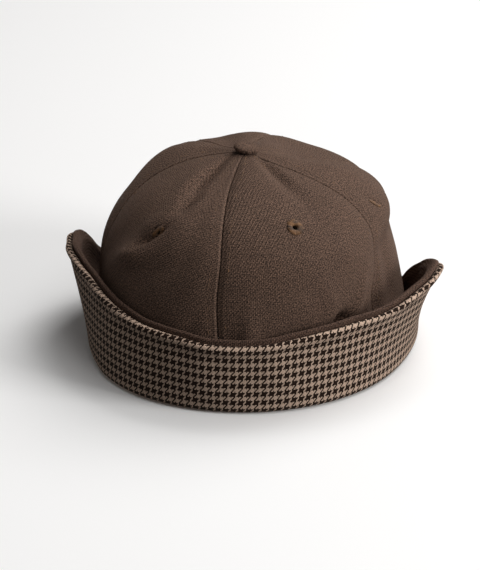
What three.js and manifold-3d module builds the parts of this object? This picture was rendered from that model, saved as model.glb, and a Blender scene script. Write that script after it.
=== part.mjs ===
// Docker cap: a brimless six-panel cap whose ear flap is turned up all round as a cuff.
//
// Millimetres, +Z up, the front faces -Y, and +X is on the right of someone facing the cap.
// The origin is the middle of the rim, on the surface that the cap rests on.
// Angles go round the cap from the front (0) towards +X (90), as the parameter of an ellipse.
//
// From the inside out the layers are the crown of six wool panels, the brown facing of the cuff
// and the checked outer band of the cuff. Each layer is a cloth wall of its own, and a seam
// allowance of air keeps neighbours apart.

import * as THREE from 'three';
import { mergeVertices } from 'three/addons/utils/BufferGeometryUtils.js';
import Module from 'manifold-3d';

const wasm = await Module();
wasm.setup();

// ---------------------------------------------------------------- driving sizes

const GAP = 0.3;                       // air between two pieces that touch
const LAYER_GAP = 0.5;                 // air between the band and the facing behind it

const RIM_HALF_WIDTH = 92;             // outside of the cuff at the rim, along X
const RIM_HALF_DEPTH = 107;            // outside of the cuff at the rim, along Y

const BAND_THICKNESS = 2.0;            // checked wool, folded double
const FACING_THICKNESS = 1.6;          // brown wool with its interlining
const PANEL_THICKNESS = 1.6;           // brown wool of the crown

const LIP_WIDTH = 7.6;                 // the band's turned-under edge, seen from below
const LIP_THICKNESS = 2.0;
const ROLL_RADIUS = 2.4;               // rounding of the fold at the rim
const TOP_ROLL = 1.7;                  // rounding of the band where it turns over at its top
const BEAD_RADIUS = 1.2;               // rolled top edge of the facing
const BEAD_RISE = 0.9;                 // bead's middle above the top of the band
const NECK = 5.5;                      // how far below the top both layers lie flat again

const BUTTON_RADIUS = 7;
const BUTTON_HEIGHT = 3.4;

const EYELET_RADIUS = 4.6;             // outside of the embroidered ring
const EYELET_HOLE_RADIUS = 1.4;
const EYELET_RELIEF = 1.1;             // ring's height above the cloth
const EYELET_FOOT = 0.45;              // air under the ring, over the curved cloth
const BARREL_RADIUS = 2.3;             // stitched tube through the panel

const PANEL_TOP_RADIUS = 3;            // where the panels end under the button
const PILLOW = 1.6;                    // how far a panel swells between its seams
const SEAM_DEPTH = 0.9;                // how far a seam draws the cloth in
const SEAM_SPREAD = 5;                 // width of that furrow, each side of the seam
const SWELL_REACH = 35;                // distance from a seam to where a panel swells fully
const CALM_RADIUS = 25;                // round the button, swelling and furrows fade out
const MERIDIAN_LENGTH = 155;           // rim to button along the cloth
const HELD_SHARE = 0.2;                // lowest part of a meridian, which the rim holds flat

// ---------------------------------------------------------------- tables

// Level sections of the crown; along is the place on a meridian, 0 at the rim and 1 at the top.
const CROWN_SECTIONS = [
  { along: 0, height: 2.6, halfWidth: 87, halfDepth: 102.2, shift: -0.3 },
  { along: 0.15, height: 36, halfWidth: 82.6, halfDepth: 99.4, shift: -2.4 },
  { along: 0.29, height: 58, halfWidth: 80, halfDepth: 94, shift: -2.4 },
  { along: 0.43, height: 76, halfWidth: 72.5, halfDepth: 84.5, shift: -1 },
  { along: 0.57, height: 90, halfWidth: 58, halfDepth: 67.5, shift: -2.5 },
  { along: 0.71, height: 99.5, halfWidth: 36, halfDepth: 42, shift: -5 },
  { along: 0.86, height: 105, halfWidth: 14, halfDepth: 17, shift: -5.6 },
  { along: 1, height: 106.5, halfWidth: 0, halfDepth: 0, shift: -4.8 },
];

// Seams of the crown: the angle where each starts at the rim, the angle at which it reaches the
// button, and how many degrees its middle bows aside from an even run between the two.
const SEAMS = [
  { name: 'front', base: 4.6, top: -0.4, bow: -2.4 },
  { name: 'right', base: 63, top: 76, bow: 6 },
  { name: 'back_right', base: 126, top: 120, bow: 5 },
  { name: 'back', base: 180, top: 180, bow: 0 },
  { name: 'back_left', base: 235, top: 231, bow: 0 },
  { name: 'left', base: 289, top: 270, bow: 6 },
];

// One panel between each seam and the next, with its eyelet's place.
const PANELS = [
  { name: 'front_right', from: 'front', to: 'right', eyeletAngle: 35, eyeletAlong: 0.544 },
  { name: 'side_right', from: 'right', to: 'back_right', eyeletAngle: 89, eyeletAlong: 0.485 },
  { name: 'back_right', from: 'back_right', to: 'back', eyeletAngle: 155, eyeletAlong: 0.44 },
  { name: 'back_left', from: 'back', to: 'back_left', eyeletAngle: 207, eyeletAlong: 0.44 },
  { name: 'side_left', from: 'back_left', to: 'left', eyeletAngle: 252, eyeletAlong: 0.44 },
  { name: 'front_left', from: 'left', to: 'front', eyeletAngle: 326.5, eyeletAlong: 0.49 },
];

// Soft dents and ridges of the crown. A fold runs across the cap's meridian at its turn,
// 0 being level and 90 upright; length and width are how far it fades out.
const CROWN_FOLDS = [
  { name: 'front left crease', angle: 330, along: 0.75, turn: 100, length: 20, width: 7, depth: -2.4 },
  { name: 'front right valley', angle: 52, along: 0.73, turn: 78, length: 22, width: 9, depth: -2 },
  { name: 'right hollow', angle: 100, along: 0.3, turn: 0, length: 34, width: 18, depth: -4.6 },
  { name: 'front foot', angle: 8, along: 0.02, turn: 0, length: 62, width: 14, depth: -2.4 },
  { name: 'back swell', angle: 182, along: 0.68, turn: 90, length: 30, width: 16, depth: 2.5 },
  { name: 'back left dip', angle: 213, along: 0.75, turn: 90, length: 24, width: 9, depth: -2.5 },
  { name: 'left shoulder', angle: 248, along: 0.64, turn: 0, length: 22, width: 20, depth: 3 },
  { name: 'right shoulder', angle: 148, along: 0.68, turn: 0, length: 26, width: 22, depth: -5.5 },
];

// The cuff, from the front round to the right, the back and the left.
// foot is how far the rim itself stands out from its ellipse, lean how far the top edge does
// and belly how far the middle does; curl is how late the wall turns outward, where 1 is an
// even slope and 3 bends near the top.
const CUFF_SECTIONS = [
  { angle: 0, height: 39.6, foot: -2.2, lean: -1, belly: 0.3, curl: 2 },
  { angle: 15, height: 39.8, foot: -2.2, lean: -1, belly: 0, curl: 2 },
  { angle: 30, height: 41.9, foot: -1.5, lean: -0.7, belly: 0, curl: 2 },
  { angle: 45, height: 44.1, foot: -0.3, lean: 1.3, belly: 0, curl: 2 },
  { angle: 60, height: 45.1, foot: 0.5, lean: 6.6, belly: 0, curl: 2 },
  { angle: 75, height: 49.8, foot: 0, lean: 12.4, belly: 0, curl: 1.7 },
  { angle: 80, height: 51.6, foot: 0, lean: 13.8, belly: 0, curl: 1.8 },
  { angle: 85, height: 52.3, foot: 0, lean: 14, belly: 0, curl: 2 },
  { angle: 90, height: 49.8, foot: 0, lean: 11.8, belly: 0, curl: 2 },
  { angle: 95, height: 45.2, foot: 0, lean: 7.6, belly: 0, curl: 2 },
  { angle: 100, height: 39, foot: 0, lean: 3.8, belly: 0.2, curl: 1.9 },
  { angle: 106, height: 32, foot: 0, lean: 1.4, belly: 0.3, curl: 1.6 },
  { angle: 112, height: 24.5, foot: 0, lean: 0.2, belly: 0.4, curl: 1.4 },
  { angle: 117, height: 17, foot: 0, lean: -0.3, belly: 0.5, curl: 1.2 },
  { angle: 123, height: 12, foot: 0, lean: -0.4, belly: 0.5, curl: 1 },
  { angle: 133, height: 12.5, foot: 0, lean: -0.4, belly: 0.5, curl: 1 },
  { angle: 148, height: 17.5, foot: 0, lean: -0.3, belly: 0.5, curl: 1 },
  { angle: 165, height: 22, foot: 0, lean: 0.1, belly: 0.5, curl: 1 },
  { angle: 180, height: 23.5, foot: 0, lean: 0.5, belly: 0.5, curl: 1 },
  { angle: 205, height: 23.5, foot: 0, lean: 1.4, belly: 0.5, curl: 1 },
  { angle: 235, height: 23, foot: 0, lean: 1.8, belly: 0.5, curl: 1 },
  { angle: 254, height: 24, foot: 0, lean: 2, belly: 1, curl: 1 },
  { angle: 258, height: 28, foot: 0, lean: 6.5, belly: 1.2, curl: 1.2 },
  { angle: 262, height: 34.8, foot: 0, lean: 9.7, belly: 1.5, curl: 1.3 },
  { angle: 266, height: 42.5, foot: 0, lean: 10.5, belly: 1.5, curl: 1.3 },
  { angle: 270, height: 49.5, foot: 0, lean: 12.2, belly: 1, curl: 1.3 },
  { angle: 275, height: 52.6, foot: 0, lean: 12.3, belly: 1, curl: 1.3 },
  { angle: 280, height: 53.3, foot: 0, lean: 11.2, belly: 1, curl: 1.3 },
  { angle: 285, height: 54, foot: 0, lean: 10.3, belly: 1, curl: 1.3 },
  { angle: 295, height: 53, foot: 0.5, lean: 5.5, belly: 1.2, curl: 1.6 },
  { angle: 305, height: 51, foot: 1, lean: 3, belly: 1.5, curl: 2 },
  { angle: 315, height: 48, foot: 2.2, lean: 1.3, belly: 1, curl: 2 },
  { angle: 330, height: 43.5, foot: 1.3, lean: 0, belly: 0.4, curl: 2 },
  { angle: 345, height: 41.6, foot: -0.9, lean: -0.6, belly: 0.3, curl: 2 },
];

// ---------------------------------------------------------------- finish

const BROWN_WOOL = { color: 0x4c4039, roughness: 0.95, metalness: 0 };
const CHECKED_WOOL = { color: 0x6a5c52, roughness: 0.95, metalness: 0 };
const TAN_THREAD = { color: 0x7a5c38, roughness: 0.7, metalness: 0 };

// ---------------------------------------------------------------- cloth surfaces

// A row worked out between the rows of a table, smoothly along its key column.
// A table with a period closes on itself; any other ends at its first and last row.
function between(table, key, value, period = 0) {
  const count = table.length;
  const wrapped = period ? THREE.MathUtils.euclideanModulo(value, period) : value;
  let row = count - 1;
  while (row > 0 && table[row][key] > wrapped) {
    row -= 1;
  }
  if (!period) {
    row = Math.min(row, count - 2);
  }
  const at = (index) => {
    const lap = period ? Math.floor(index / count) : 0;
    const source = period ? table[index - lap * count]
      : table[THREE.MathUtils.clamp(index, 0, count - 1)];
    return { ...source, [key]: source[key] + lap * period };
  };
  const [before, start, end, after] = [at(row - 1), at(row), at(row + 1), at(row + 2)];
  const length = end[key] - start[key];
  const t = (wrapped - start[key]) / length;
  const result = {};
  for (const column of Object.keys(start)) {
    const slopeStart = (end[column] - before[column]) / (end[key] - before[key]) * length;
    const slopeEnd = (after[column] - start[column]) / (after[key] - start[key]) * length;
    result[column] = (2 * t ** 3 - 3 * t ** 2 + 1) * start[column]
      + (t ** 3 - 2 * t ** 2 + t) * slopeStart
      + (3 * t ** 2 - 2 * t ** 3) * end[column]
      + (t ** 3 - t ** 2) * slopeEnd;
  }
  return result;
}

function crownSection(along) {
  return between(CROWN_SECTIONS, 'along', along);
}

function cuffSection(angle) {
  return between(CUFF_SECTIONS, 'angle', angle, 360);
}

function seamAngle(name, along) {
  const seam = SEAMS.find((each) => each.name === name);
  return THREE.MathUtils.lerp(seam.base, seam.top, along) + seam.bow * 4 * along * (1 - along);
}

// Smallest turn from one angle to another, in degrees.
function turnBetween(angle, other) {
  return THREE.MathUtils.euclideanModulo(angle - other + 180, 360) - 180;
}

// Crown without swelling, furrows or dents.
function plainCrownPoint(angle, along) {
  const section = crownSection(along);
  const turn = THREE.MathUtils.degToRad(angle);
  return new THREE.Vector3(
    section.halfWidth * Math.sin(turn) + section.shift,
    -section.halfDepth * Math.cos(turn),
    section.height,
  );
}

// Outward direction of the plain crown.
function crownNormal(angle, along) {
  const step = 0.01;
  const low = Math.max(along - step, 0);
  const high = Math.min(along + step, 1 - step);
  const up = plainCrownPoint(angle, high).sub(plainCrownPoint(angle, low));
  const round = plainCrownPoint(angle + 1, along).sub(plainCrownPoint(angle - 1, along));
  return round.cross(up).normalize();
}

// How far the cloth stands out from the plain crown at a place.
function crownRelief(angle, along) {
  const section = crownSection(along);
  const radius = Math.max((section.halfWidth + section.halfDepth) / 2, 1);
  let relief = 0;
  let nearest = Infinity;
  for (const seam of SEAMS) {
    const turn = turnBetween(angle, seamAngle(seam.name, along));
    nearest = Math.min(nearest, Math.abs(THREE.MathUtils.degToRad(turn)) * radius);
  }
  const fade = Math.min(radius / CALM_RADIUS, along / HELD_SHARE, 1);
  const swell = Math.min(nearest / SWELL_REACH, 1);
  relief += PILLOW * fade * Math.sin(swell * Math.PI / 2);
  relief -= SEAM_DEPTH * fade * Math.exp(-((nearest / SEAM_SPREAD) ** 2));
  for (const fold of CROWN_FOLDS) {
    const across = THREE.MathUtils.degToRad(turnBetween(angle, fold.angle)) * radius;
    const upward = (along - fold.along) * MERIDIAN_LENGTH;
    const heading = THREE.MathUtils.degToRad(fold.turn);
    const lengthwise = across * Math.cos(heading) + upward * Math.sin(heading);
    const sideways = upward * Math.cos(heading) - across * Math.sin(heading);
    const spread = (lengthwise / fold.length) ** 2 + (sideways / fold.width) ** 2;
    relief += fold.depth * Math.exp(-spread);
  }
  return relief;
}

// A point of the crown's cloth, depth being how far below its outer face.
function crownPoint(angle, along, depth) {
  const out = crownRelief(angle, along) - depth;
  return plainCrownPoint(angle, along).addScaledVector(crownNormal(angle, along), out);
}

// A point of the cuff: inset is how far inside its outer face, height is above the rest surface.
function cuffPoint(angle, inset, height) {
  const turn = THREE.MathUtils.degToRad(angle);
  const section = cuffSection(angle);
  const rise = height / section.height;
  const foot = section.foot * (1 - rise);
  const flare = section.lean * Math.max(rise, 0) ** section.curl;
  const belly = section.belly * Math.sin(Math.PI * THREE.MathUtils.clamp(rise, 0, 1));
  const out = foot + flare + belly - inset;
  const outward = new THREE.Vector2(
    Math.sin(turn) / RIM_HALF_WIDTH,
    -Math.cos(turn) / RIM_HALF_DEPTH,
  ).normalize();
  return new THREE.Vector3(
    RIM_HALF_WIDTH * Math.sin(turn) + outward.x * out,
    -RIM_HALF_DEPTH * Math.cos(turn) + outward.y * out,
    height,
  );
}

// ---------------------------------------------------------------- solids

// Leaves only positions, with shared corners joined.
function weld(geometry) {
  geometry.deleteAttribute('normal');
  geometry.deleteAttribute('uv');
  return mergeVertices(geometry, 1e-4);
}

function toSolid(geometry) {
  const welded = weld(geometry);
  return new wasm.Manifold(new wasm.Mesh({
    numProp: 3,
    vertProperties: new Float32Array(welded.attributes.position.array),
    triVerts: new Uint32Array(welded.index.array),
  }));
}

function fromSolid(solid) {
  const result = solid.getMesh();
  const geometry = new THREE.BufferGeometry();
  geometry.setAttribute('position', new THREE.BufferAttribute(result.vertProperties, 3));
  geometry.setIndex(new THREE.BufferAttribute(result.triVerts, 1));
  return geometry;
}

// Moves every corner of a geometry to where a function sends it.
function reshape(geometry, place) {
  const positions = geometry.attributes.position;
  const corner = new THREE.Vector3();
  for (let index = 0; index < positions.count; index += 1) {
    corner.fromBufferAttribute(positions, index);
    const moved = place(corner);
    positions.setXYZ(index, moved.x, moved.y, moved.z);
  }
  return geometry;
}

// ---------------------------------------------------------------- crown panels

const PANEL_STEPS_ACROSS = 8;
const PANEL_STEPS_UP = 15;
const DRILL_LENGTH = 8;

// The place along a meridian where the crown is as narrow as the panels' top end.
function panelTop() {
  let along = 1;
  while (crownSection(along).halfWidth < PANEL_TOP_RADIUS) {
    along -= 0.002;
  }
  return along;
}

const PANEL_TOP = panelTop();

// A thin box laid over the crown between two seams.
function panelGeometry(panel) {
  const sheet = new THREE.BoxGeometry(1, 1, 1, PANEL_STEPS_ACROSS, PANEL_STEPS_UP, 1);
  return reshape(sheet, (corner) => {
    const along = (corner.y + 0.5) * PANEL_TOP;
    const halfGap = THREE.MathUtils.radToDeg(GAP / 2 / crownSection(along).halfWidth);
    const start = seamAngle(panel.from, along) + halfGap;
    const span = THREE.MathUtils.euclideanModulo(
      seamAngle(panel.to, along) - halfGap - start, 360);
    const angle = start + (corner.x + 0.5) * span;
    const depth = (0.5 - corner.z) * PANEL_THICKNESS;
    return crownPoint(angle, along, depth);
  });
}

// Turns an upright round piece so that it stands on the cloth at a place of the crown.
function standOnCrown(object, angle, along) {
  const upright = new THREE.Vector3(0, 1, 0);
  object.position.copy(crownPoint(angle, along, 0));
  object.quaternion.setFromUnitVectors(upright, crownNormal(angle, along));
  object.updateMatrix();
}

// One sewn panel with the hole that its eyelet is stitched into.
function crownPanel(panel) {
  const radius = BARREL_RADIUS + GAP;
  const drill = new THREE.Mesh(new THREE.CylinderGeometry(radius, radius, DRILL_LENGTH, 12));
  standOnCrown(drill, panel.eyeletAngle, panel.eyeletAlong);
  const hole = toSolid(drill.geometry.applyMatrix4(drill.matrix));
  const cloth = toSolid(panelGeometry(panel)).subtract(hole);
  return named(`crown_panel_${panel.name}`, fromSolid(cloth), BROWN_WOOL);
}

// ---------------------------------------------------------------- eyelets and button

// Embroidered ring with its stitched tube through the cloth.
function eyelet(panel) {
  const crest = EYELET_FOOT + EYELET_RELIEF;
  const shoulder = EYELET_FOOT + EYELET_RELIEF * 0.7;
  const outline = [
    { radius: EYELET_HOLE_RADIUS, height: -PANEL_THICKNESS },
    { radius: BARREL_RADIUS, height: -PANEL_THICKNESS },
    { radius: BARREL_RADIUS, height: EYELET_FOOT },
    { radius: EYELET_RADIUS, height: EYELET_FOOT },
    { radius: EYELET_RADIUS - 0.4, height: shoulder },
    { radius: (EYELET_RADIUS + EYELET_HOLE_RADIUS) / 2, height: crest },
    { radius: EYELET_HOLE_RADIUS + 0.3, height: shoulder },
    { radius: EYELET_HOLE_RADIUS, height: -PANEL_THICKNESS },
  ].map((point) => new THREE.Vector2(point.radius, point.height));
  const ring = named(`eyelet_${panel.name}`, weld(new THREE.LatheGeometry(outline, 14)), TAN_THREAD);
  standOnCrown(ring, panel.eyeletAngle, panel.eyeletAlong);
  return ring;
}

// Cloth-covered button on the middle of the crown.
function topButton() {
  const top = crownSection(1);
  const outline = [
    { width: 0, rise: 0 },
    { width: 0.88, rise: 0 },
    { width: 1, rise: 0.25 },
    { width: 0.92, rise: 0.6 },
    { width: 0.7, rise: 0.86 },
    { width: 0.35, rise: 0.98 },
    { width: 0, rise: 1 },
  ].map((point) => new THREE.Vector2(point.width * BUTTON_RADIUS, point.rise * BUTTON_HEIGHT));
  const button = named('top_button', weld(new THREE.LatheGeometry(outline, 20)), BROWN_WOOL);
  button.rotation.x = Math.PI / 2;
  button.position.set(top.shift, 0, top.height);
  return button;
}

// ---------------------------------------------------------------- cuff

const CUFF_STEPS_ROUND = 84;
const SIDE_CROWDING = 0.3;              // 0 spaces the steps evenly, 0.5 bunches them fully
const WALL_STEPS = [0.25, 0.5, 0.7];

// Brings the steps closer together at the sides, where the cuff is bent most.
function crowdSides(angle) {
  const turn = THREE.MathUtils.degToRad(angle);
  return angle + THREE.MathUtils.radToDeg(SIDE_CROWDING * Math.sin(2 * turn));
}

// Sweeps a closed section all the way round the cuff. Each corner of the section has an inset
// from the outer face, a share of the wall's height and a rise in millimetres above that.
// The sleeve is turned with one ring a millimetre above the last for each corner in turn, and
// its rings are then moved to their places on the cuff.
function sweepCuff(corners) {
  const profile = corners.map((corner, index) => new THREE.Vector2(RIM_HALF_WIDTH, index));
  profile.push(new THREE.Vector2(RIM_HALF_WIDTH, 0));
  const sleeve = new THREE.LatheGeometry(profile, CUFF_STEPS_ROUND);
  return weld(reshape(sleeve, (vertex) => {
    const corner = corners[Math.round(vertex.y)];
    const angle = crowdSides(THREE.MathUtils.radToDeg(Math.atan2(vertex.x, vertex.z)));
    const height = corner.share * cuffSection(angle).height + corner.rise;
    return cuffPoint(angle, corner.inset, height);
  }));
}

// Corners of a round fold at the top of a wall, at turns from its outer face over the top.
function roundFold(inset, rise, radius, turns) {
  return turns.map((degrees) => {
    const turn = THREE.MathUtils.degToRad(degrees);
    return {
      inset: inset - radius * Math.cos(turn),
      share: 1,
      rise: rise + radius * Math.sin(turn),
    };
  });
}

// Checked outer layer: its rounded foot, its wall, its folded top edge and its turned-under lip.
function cuffBand() {
  const up = WALL_STEPS.map((share) => ({ inset: 0, share, rise: 0 }));
  const down = [...WALL_STEPS].reverse().map((share) => ({ inset: BAND_THICKNESS, share, rise: 0 }));
  const corners = [
    { inset: ROLL_RADIUS, share: 0, rise: 0 },
    { inset: ROLL_RADIUS * 0.3, share: 0, rise: ROLL_RADIUS * 0.3 },
    { inset: 0, share: 0, rise: ROLL_RADIUS },
    ...up,
    { inset: 0, share: 1, rise: -NECK },
    ...roundFold(BAND_THICKNESS / 2, -TOP_ROLL, TOP_ROLL, [0, 45, 90, 135, 180]),
    { inset: BAND_THICKNESS, share: 1, rise: -NECK },
    ...down,
    { inset: BAND_THICKNESS, share: 0, rise: LIP_THICKNESS },
    { inset: LIP_WIDTH, share: 0, rise: LIP_THICKNESS },
    { inset: LIP_WIDTH, share: 0, rise: 0 },
  ];
  return named('cuff_band', sweepCuff(corners), CHECKED_WOOL);
}

// Brown inner layer, which stands on the lip and rolls over at its top edge.
function cuffFacing() {
  const outer = BAND_THICKNESS + LAYER_GAP;
  const inner = outer + FACING_THICKNESS;
  const foot = LIP_THICKNESS + GAP;
  const behindRoll = BAND_THICKNESS / 2 + TOP_ROLL + GAP;
  const up = WALL_STEPS.map((share) => ({ inset: outer, share, rise: 0 }));
  const down = [...WALL_STEPS].reverse().map((share) => ({ inset: inner, share, rise: 0 }));
  const corners = [
    { inset: outer, share: 0, rise: foot },
    ...up,
    { inset: outer, share: 1, rise: -NECK },
    { inset: behindRoll, share: 1, rise: -TOP_ROLL },
    ...roundFold(behindRoll + BEAD_RADIUS, BEAD_RISE, BEAD_RADIUS, [0, 60, 120, 180]),
    { inset: inner + behindRoll - outer, share: 1, rise: -TOP_ROLL },
    { inset: inner, share: 1, rise: -NECK },
    ...down,
    { inset: inner, share: 0, rise: foot },
  ];
  return named('cuff_facing', sweepCuff(corners), BROWN_WOOL);
}

// ---------------------------------------------------------------- assembly

function named(name, geometry, finish) {
  const mesh = new THREE.Mesh(geometry, new THREE.MeshStandardMaterial(finish));
  mesh.name = name;
  return mesh;
}

const group = new THREE.Group();
for (const panel of PANELS) {
  group.add(crownPanel(panel));
  group.add(eyelet(panel));
}
group.add(topButton());
group.add(cuffFacing());
group.add(cuffBand());

export default group;
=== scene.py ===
# %% [markdown]
# # A docker cap, sewn in Blender
# The cap is a dome of six wool panels with a covered button on top and an ear flap that is turned
# up all round as a checked cuff. Everything here is cloth or thread, so this lesson is about
# cloth: how a sheet is laid over a dome, how a seam looks, how a weave is drawn to scale.
#
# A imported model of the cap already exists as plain, faceted solids. It is loaded first, and each
# finished piece then takes the place of one of its nodes.

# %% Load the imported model
import math
from collections import namedtuple

import bmesh
import bpy
import numpy as np
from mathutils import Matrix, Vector


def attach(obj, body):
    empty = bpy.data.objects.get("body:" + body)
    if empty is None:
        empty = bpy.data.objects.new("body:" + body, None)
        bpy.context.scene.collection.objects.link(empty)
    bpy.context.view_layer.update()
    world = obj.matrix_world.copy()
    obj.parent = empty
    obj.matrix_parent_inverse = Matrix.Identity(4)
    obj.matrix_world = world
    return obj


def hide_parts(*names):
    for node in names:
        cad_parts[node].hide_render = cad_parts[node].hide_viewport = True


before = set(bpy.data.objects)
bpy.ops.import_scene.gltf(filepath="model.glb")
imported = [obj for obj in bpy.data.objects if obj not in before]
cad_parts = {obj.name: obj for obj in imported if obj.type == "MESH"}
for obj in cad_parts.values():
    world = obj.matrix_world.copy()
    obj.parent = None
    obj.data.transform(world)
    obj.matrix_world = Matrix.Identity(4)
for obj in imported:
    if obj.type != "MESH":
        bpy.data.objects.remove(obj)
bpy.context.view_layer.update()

print("nodes", sorted(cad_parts))

MM = 0.001               # every table below is in millimetres, and Blender works in metres

# %% [markdown]
# ## The view
# The cap is seen from a little to its right and about 25 degrees above the table, from 1.2 m
# away through a long lens, which keeps its shape free of distortion. A camera looks along its own
# -Z axis, so it is turned by asking for the rotation that brings -Z onto the line of sight.

# %% Camera
VIEW_AZIMUTH = 12.0
VIEW_ELEVATION = 24.5
VIEW_DISTANCE = 1.2
LENS = 134.1             # millimetres, on a sensor 36 mm wide
AIM_RIGHT = -0.0081      # where the middle of the view lies beside the origin
AIM_UP = 0.0243


def aim(place, target):
    """The rotation of a camera or lamp at a place that looks at a target."""
    return (Vector(target) - Vector(place)).to_track_quat("-Z", "Y").to_euler()


turn, lift = math.radians(VIEW_AZIMUTH), math.radians(VIEW_ELEVATION)
back = Vector((math.sin(turn) * math.cos(lift), -math.cos(turn) * math.cos(lift), math.sin(lift)))
right = Vector((math.cos(turn), math.sin(turn), 0))
target = right * AIM_RIGHT + back.cross(right) * AIM_UP
eye = target + back * VIEW_DISTANCE

bpy.ops.object.camera_add(location=eye, rotation=aim(eye, target))
camera = bpy.context.object
camera.data.lens = LENS
camera.data.sensor_width = 36.0
bpy.context.scene.camera = camera
print("camera at", [round(v, 3) for v in eye])

# %% [markdown]
# ## Floor and light
# A matte white table and three soft lamps are enough. The key lamp stands low on the right, so
# the right of the cap is bright and the left falls off into brown shadow. A wide lamp above and
# another behind pick out the top of the crown, and a weak sky keeps the shadows from turning black.

# %% Lamps and sky
scene = bpy.context.scene
scene.view_settings.view_transform = "Standard"
scene.view_settings.look = "None"

LAMPS = [  # name, place, size in metres, power in watts
    ("key lamp", (1.76, -0.40, 0.62), 0.7, 24.0),
    ("top lamp", (0.73, -0.42, 1.86), 1.4, 13.0),
    ("back lamp", (0.60, 1.08, 1.62), 1.4, 27.0),
]
for name, place, size, power in LAMPS:
    bpy.ops.object.light_add(type="AREA", location=place, rotation=aim(place, (0, 0, 0.05)))
    lamp = bpy.context.object
    lamp.name = name.replace(" ", "_")
    lamp.data.size = size
    lamp.data.energy = power

world = bpy.data.worlds.new("pale_room")
world.use_nodes = True
world.node_tree.nodes["Background"].inputs["Color"].default_value = (1, 1, 1, 1)
world.node_tree.nodes["Background"].inputs["Strength"].default_value = 0.12
scene.world = world

# %% [markdown]
# ## A helper for materials
# Every material is a small graph of nodes. One function adds a node, sets its options, and links
# or fills its sockets, so a whole cloth can be written as a short list of lines. Colours are
# written as the hex values a painter would pick, and turned into the linear light that the
# renderer adds up.


# %% Material helpers
def linear(hex_colour):
    """The linear RGBA of an sRGB hex value such as 4c4039."""
    channels = [int(hex_colour[i:i + 2], 16) / 255 for i in (0, 2, 4)]
    return [c / 12.92 if c <= 0.04045 else ((c + 0.055) / 1.055) ** 2.4 for c in channels] + [1]


def add_node(tree, kind, sockets=None, **options):
    """A new node with its options set. Each socket is filled with a value, or linked to another
    node's socket, where a node by itself stands for the first of its outputs that is in use."""
    node = tree.nodes.new(kind)
    for option, value in options.items():
        setattr(node, option, value)
    for name, value in (sockets or {}).items():
        if isinstance(value, bpy.types.Node):
            value = next(output for output in value.outputs if output.enabled)
        if isinstance(value, bpy.types.NodeSocket):
            tree.links.new(value, node.inputs[name])
        else:
            node.inputs[name].default_value = value
    return node


def new_material(name):
    """An empty material and its node tree."""
    material = bpy.data.materials.new(name)
    material.use_nodes = True
    material.node_tree.nodes.clear()
    return material, material.node_tree


def finish_surface(tree, sockets):
    """Ends a material with the shader that all its sockets go into, and the output."""
    shader = add_node(tree, "ShaderNodeBsdfPrincipled", sockets)
    add_node(tree, "ShaderNodeOutputMaterial", {"Surface": shader})


# %% Matte paper for the table
# Uncoated white paper has no gloss, and a faint tooth that breaks up the little shine it has.
paper, tree = new_material("matte_paper")
place = add_node(tree, "ShaderNodeTexCoord").outputs["Object"]
grain = add_node(tree, "ShaderNodeTexNoise", {"Vector": place, "Scale": 900.0, "Detail": 3.0})
tooth = add_node(tree, "ShaderNodeBump", {"Height": grain, "Strength": 0.05, "Distance": 0.0002})
finish_surface(tree, {"Base Color": linear("fbfaf9"), "Roughness": 0.9,
                      "Specular IOR Level": 0.2, "Normal": tooth})

# %% The table
TABLE_SIZE = 9.0         # metres, so that its edge is never in view
TABLE_DROP = 0.0004      # the cap's rim stands on z = 0, just clear of the paper

bpy.ops.mesh.primitive_plane_add(size=TABLE_SIZE, location=(0, 0, -TABLE_DROP))
table = bpy.context.object
table.name = "table"
table.data.materials.append(paper)
table.visible_diffuse = False     # its white bounce would wash out the shaded side of the cap
print("table", round(table.dimensions.x, 2), "m wide")

# %% [markdown]
# ## The shape of the crown
# A sewn dome is easily described as a stack of level ovals. Each row of the table gives one:
# how high it is, how wide and deep, and how far it has slumped sideways. A place on the crown is
# then two numbers, an angle round the cap from the front and a share of the way from the rim to
# the button. The same table made the plain solids, so the cloth lies exactly on them.

# %% Tables of the crown
PANEL_THICKNESS = 1.6
MERIDIAN_LENGTH = 155.0  # rim to button along the cloth
PANEL_TOP_RADIUS = 3.0   # where the panels end under the button
SEWN_GAP = 0.3           # air between two neighbouring panels at their seam

CROWN_SECTIONS = [  # along, height, half width, half depth, shift to the right
    (0.00, 2.6, 87.0, 102.2, -0.3),
    (0.15, 36.0, 82.6, 99.4, -2.4),
    (0.29, 58.0, 80.0, 94.0, -2.4),
    (0.43, 76.0, 72.5, 84.5, -1.0),
    (0.57, 90.0, 58.0, 67.5, -2.5),
    (0.71, 99.5, 36.0, 42.0, -5.0),
    (0.86, 105.0, 14.0, 17.0, -5.6),
    (1.00, 106.5, 0.0, 0.0, -4.8),
]

SEAMS = {  # angle at the rim, angle at the button, degrees that the middle bows aside
    "front": (4.6, -0.4, -2.4),
    "right": (63.0, 76.0, 6.0),
    "back_right": (126.0, 120.0, 5.0),
    "back": (180.0, 180.0, 0.0),
    "back_left": (235.0, 231.0, 0.0),
    "left": (289.0, 270.0, 6.0),
}

Panel = namedtuple("Panel", "name first_seam last_seam eyelet_angle eyelet_along")
PANELS = [
    Panel("front_right", "front", "right", 35, 0.544),
    Panel("side_right", "right", "back_right", 89, 0.485),
    Panel("back_right", "back_right", "back", 155, 0.44),
    Panel("back_left", "back", "back_left", 207, 0.44),
    Panel("side_left", "back_left", "left", 252, 0.44),
    Panel("front_left", "left", "front", 326.5, 0.49),
]

# %% [markdown]
# ## Dents and ridges
# A worn cap has slumped a little and been pressed by hands, so no panel is smooth. Each row is one
# fold: its angle and place along, the turn of its crest (0 level, 90 upright), its length and
# width, and how far it stands out, with dents below zero. The soft ones are broad enough to be in
# the plain solids too, and the fine ones are only in the cloth.

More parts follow.
